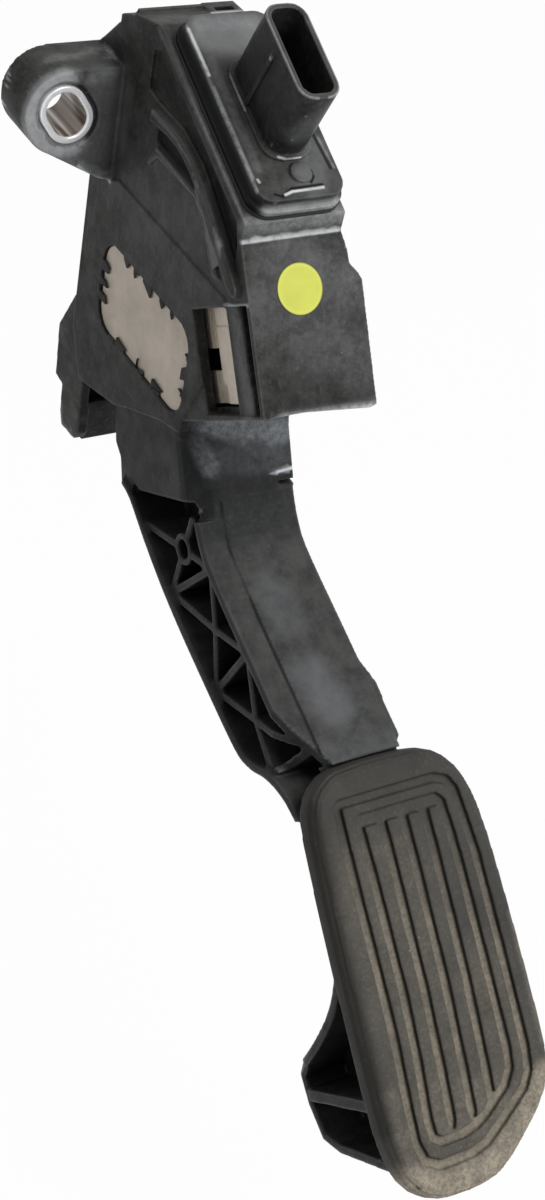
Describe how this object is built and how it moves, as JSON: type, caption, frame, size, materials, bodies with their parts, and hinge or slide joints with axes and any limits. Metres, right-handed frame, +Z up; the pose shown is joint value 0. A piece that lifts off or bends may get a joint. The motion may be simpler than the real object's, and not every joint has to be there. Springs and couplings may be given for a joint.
{
  "type": "accelerator pedal",
  "caption": "Suspended electronic accelerator pedal: black plastic housing with ears and connector, lattice arm on a sprung hinge, grooved rubber pad.",
  "frame": {"origin": "centre of the round lower bolt bore on the mounting plane", "axes": "+Z up, +Y into the bulkhead along the bolts, +X to the driver's right; the pad faces -Y and up"},
  "size_m": [0.0713, 0.2071, 0.2344],
  "materials": {
    "housing_plastic": "grained",
    "cover_plastic": "satin",
    "arm_plastic": "satin",
    "pad_rubber": "worn",
    "stop_rubber": "matt",
    "plain_steel": "dull",
    "sleeve_steel": "bright",
    "spring_steel": "satin",
    "bearing_plastic": "smooth",
    "pin_metal": "plated",
    "board": "coated",
    "chip": "matt",
    "magnet": "matt",
    "sticker": "smooth"
  },
  "bodies": {
    "housing": {"housing_body": "housing_plastic", "side_plate_left": "plain_steel", "side_plate_right": "plain_steel", "inner_bracket": "plain_steel", "sensor_cover": "cover_plastic", "cover_gasket": "stop_rubber", "connector_pins": "pin_metal", "circuit_board": "board", "hall_sensors": "chip", "upper_sleeve": "sleeve_steel", "lower_sleeve": "sleeve_steel", "marker_dot": "sticker", "bush_left": "bearing_plastic", "bush_right": "bearing_plastic", "return_spring_outer": "spring_steel", "return_spring_inner": "spring_steel", "idle_bumper": "stop_rubber", "stop_bumper": "stop_rubber"},
    "pedal": {"pedal_arm": "arm_plastic", "pedal_pad": "pad_rubber", "pivot_shaft": "sleeve_steel", "shaft_clip": "spring_steel", "sensor_magnet": "magnet", "spring_seat": "bearing_plastic"}
  },
  "joints": [
    {"name": "pedal_hinge", "type": "hinge", "parent": "housing", "child": "pedal", "pos_m": [-0.021, -0.041, 0.0515], "axis": [1, 0, 0], "range_deg": [0, 15], "stiffness_Nm_per_rad": 6, "springref_deg": -22.92, "deforming": ["return_spring_outer", "return_spring_inner"]}
  ]
}
